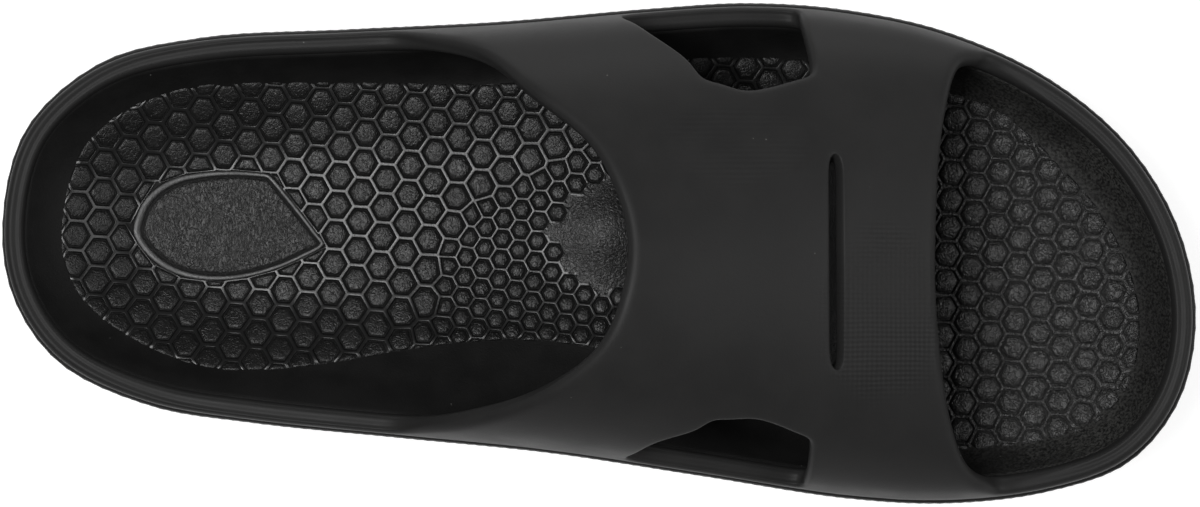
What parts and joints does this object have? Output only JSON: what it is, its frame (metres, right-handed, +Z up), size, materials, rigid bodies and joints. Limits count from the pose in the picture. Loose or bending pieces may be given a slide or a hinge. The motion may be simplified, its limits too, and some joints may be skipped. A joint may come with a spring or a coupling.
{
  "type": "slide sandal",
  "caption": "Moulded foam sport slide sandal for the left foot: broad hollow strap with cut-outs and a crosswise slot, raised rim all round, contoured footbed, thick sole",
  "frame": {"origin": "middle of the overall box in X and Y, on the floor under the sole", "axes": "+X points to the toe, +Y to the outer (little-toe) side, +Z up; the shoe stands on the floor plane Z=0"},
  "size_m": [0.29, 0.122, 0.0902],
  "materials": {
    "outsole": "matte black moulded foam rubber",
    "midsole": "matte black moulded foam",
    "insole": "matte black fine-grained foam",
    "upper": "matte black moulded foam, soft sheen"
  },
  "bodies": {
    "root": {"outsole": "outsole", "midsole": "midsole", "insole": "insole", "upper": "upper"}
  },
  "joints": []
}
